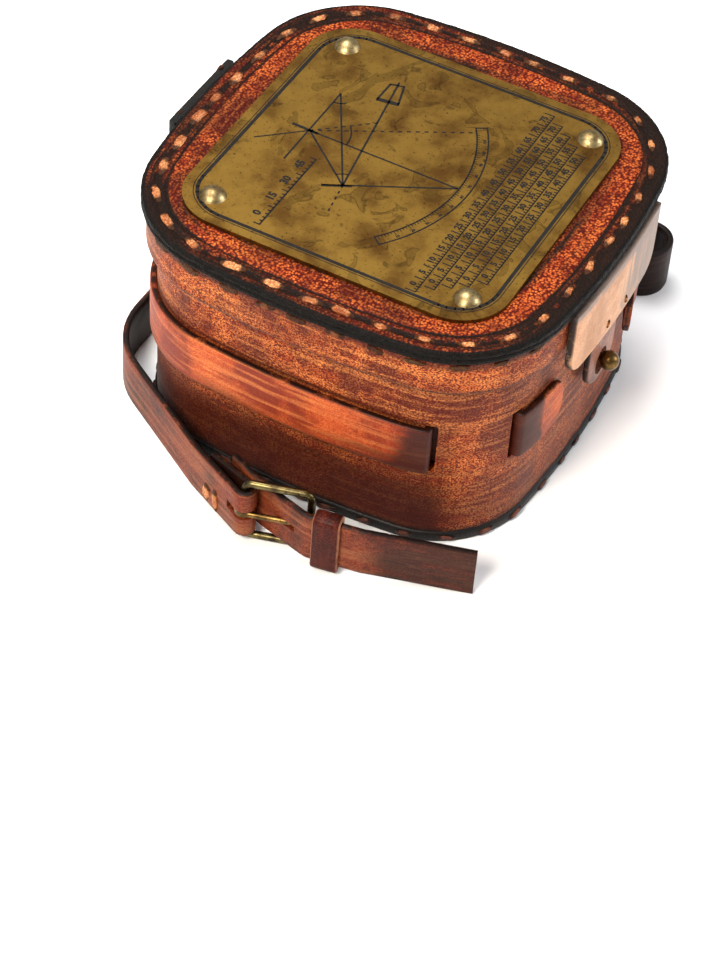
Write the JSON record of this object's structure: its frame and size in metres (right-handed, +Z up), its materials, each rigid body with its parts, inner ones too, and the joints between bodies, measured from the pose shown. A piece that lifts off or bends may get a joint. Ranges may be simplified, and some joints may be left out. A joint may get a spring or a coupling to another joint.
{
  "type": "leather instrument case",
  "caption": "Rounded square leather case with a hinged lid, a riveted brass plate, a flap that buttons on a ball stud, and a buckled carrying strap round its foot.",
  "frame": {"origin": "centre of the base's underside, on the floor", "axes": "+Z up, -Y the front with the stud and the closure flap, +Y the hinge, +X the viewer's right when facing the stud"},
  "size_m": [0.1735, 0.1428, 0.0833],
  "materials": {
    "body_leather": "waxed saddle leather, mahogany brown with brushed streaks",
    "lid_leather": "pebbled grain leather, red brown, burnished black rim",
    "strap_leather": "orange brown strap leather with pale worn edges",
    "flap_leather": "light tan leather, darker at its edges",
    "dark_leather": "dark mahogany leather",
    "lace": "pale tan flat lace",
    "plate_brass": "tarnished engraved sheet brass with stains",
    "rivet_brass": "domed rivets, aged brass",
    "stud_brass": "turned brass, dark patina",
    "buckle_brass": "aged brass wire"
  },
  "bodies": {
    "case": {"base_panel": "body_leather", "case_wall": "body_leather", "base_lacing": "lace", "hinge_leaf_case": "dark_leather", "hinge_stitches_case": "lace", "stud_ball": "stud_brass", "stud_washer": "stud_brass", "stud_screw": "stud_brass", "side_strap": "strap_leather", "carry_strap": "strap_leather", "strap_lacing": "lace", "splice_lacing": "lace", "buckle_frame": "buckle_brass", "strap_billet": "strap_leather"},
    "lid": {"lid_panel": "lid_leather", "lid_skirt": "body_leather", "lid_top_lacing": "lace", "lid_side_lacing": "lace", "brass_plate": "plate_brass", "plate_rivets": "rivet_brass", "rivet_burrs": "rivet_brass", "hinge_leaf_lid": "dark_leather", "hinge_stitches_lid": "lace", "flap_root": "flap_leather"},
    "flap": {"closure_flap": "flap_leather", "flap_tongue": "strap_leather", "flap_stitches": "lace"},
    "prong": {"buckle_prong": "buckle_brass"},
    "keeper": {"strap_keeper": "dark_leather"}
  },
  "joints": [
    {"name": "lid_hinge", "type": "hinge", "parent": "case", "child": "lid", "pos_m": [0, 0.06952, 0.063], "axis": [-1, 0, 0], "range_deg": [0, 100]},
    {"name": "flap_hinge", "type": "hinge", "parent": "lid", "child": "flap", "pos_m": [0.0015, -0.0682, 0.071], "axis": [-1, 0, 0], "range_deg": [0, 110]},
    {"name": "prong_turn", "type": "hinge", "parent": "case", "child": "prong", "pos_m": [-0.083, 0.004, 0.0116], "axis": [0, 0, -1], "range_deg": [0, 4]},
    {"name": "keeper_slide", "type": "slide", "parent": "case", "child": "keeper", "axis": [0.1736, -0.9848, 0], "range_m": [0, 0.005]}
  ]
}
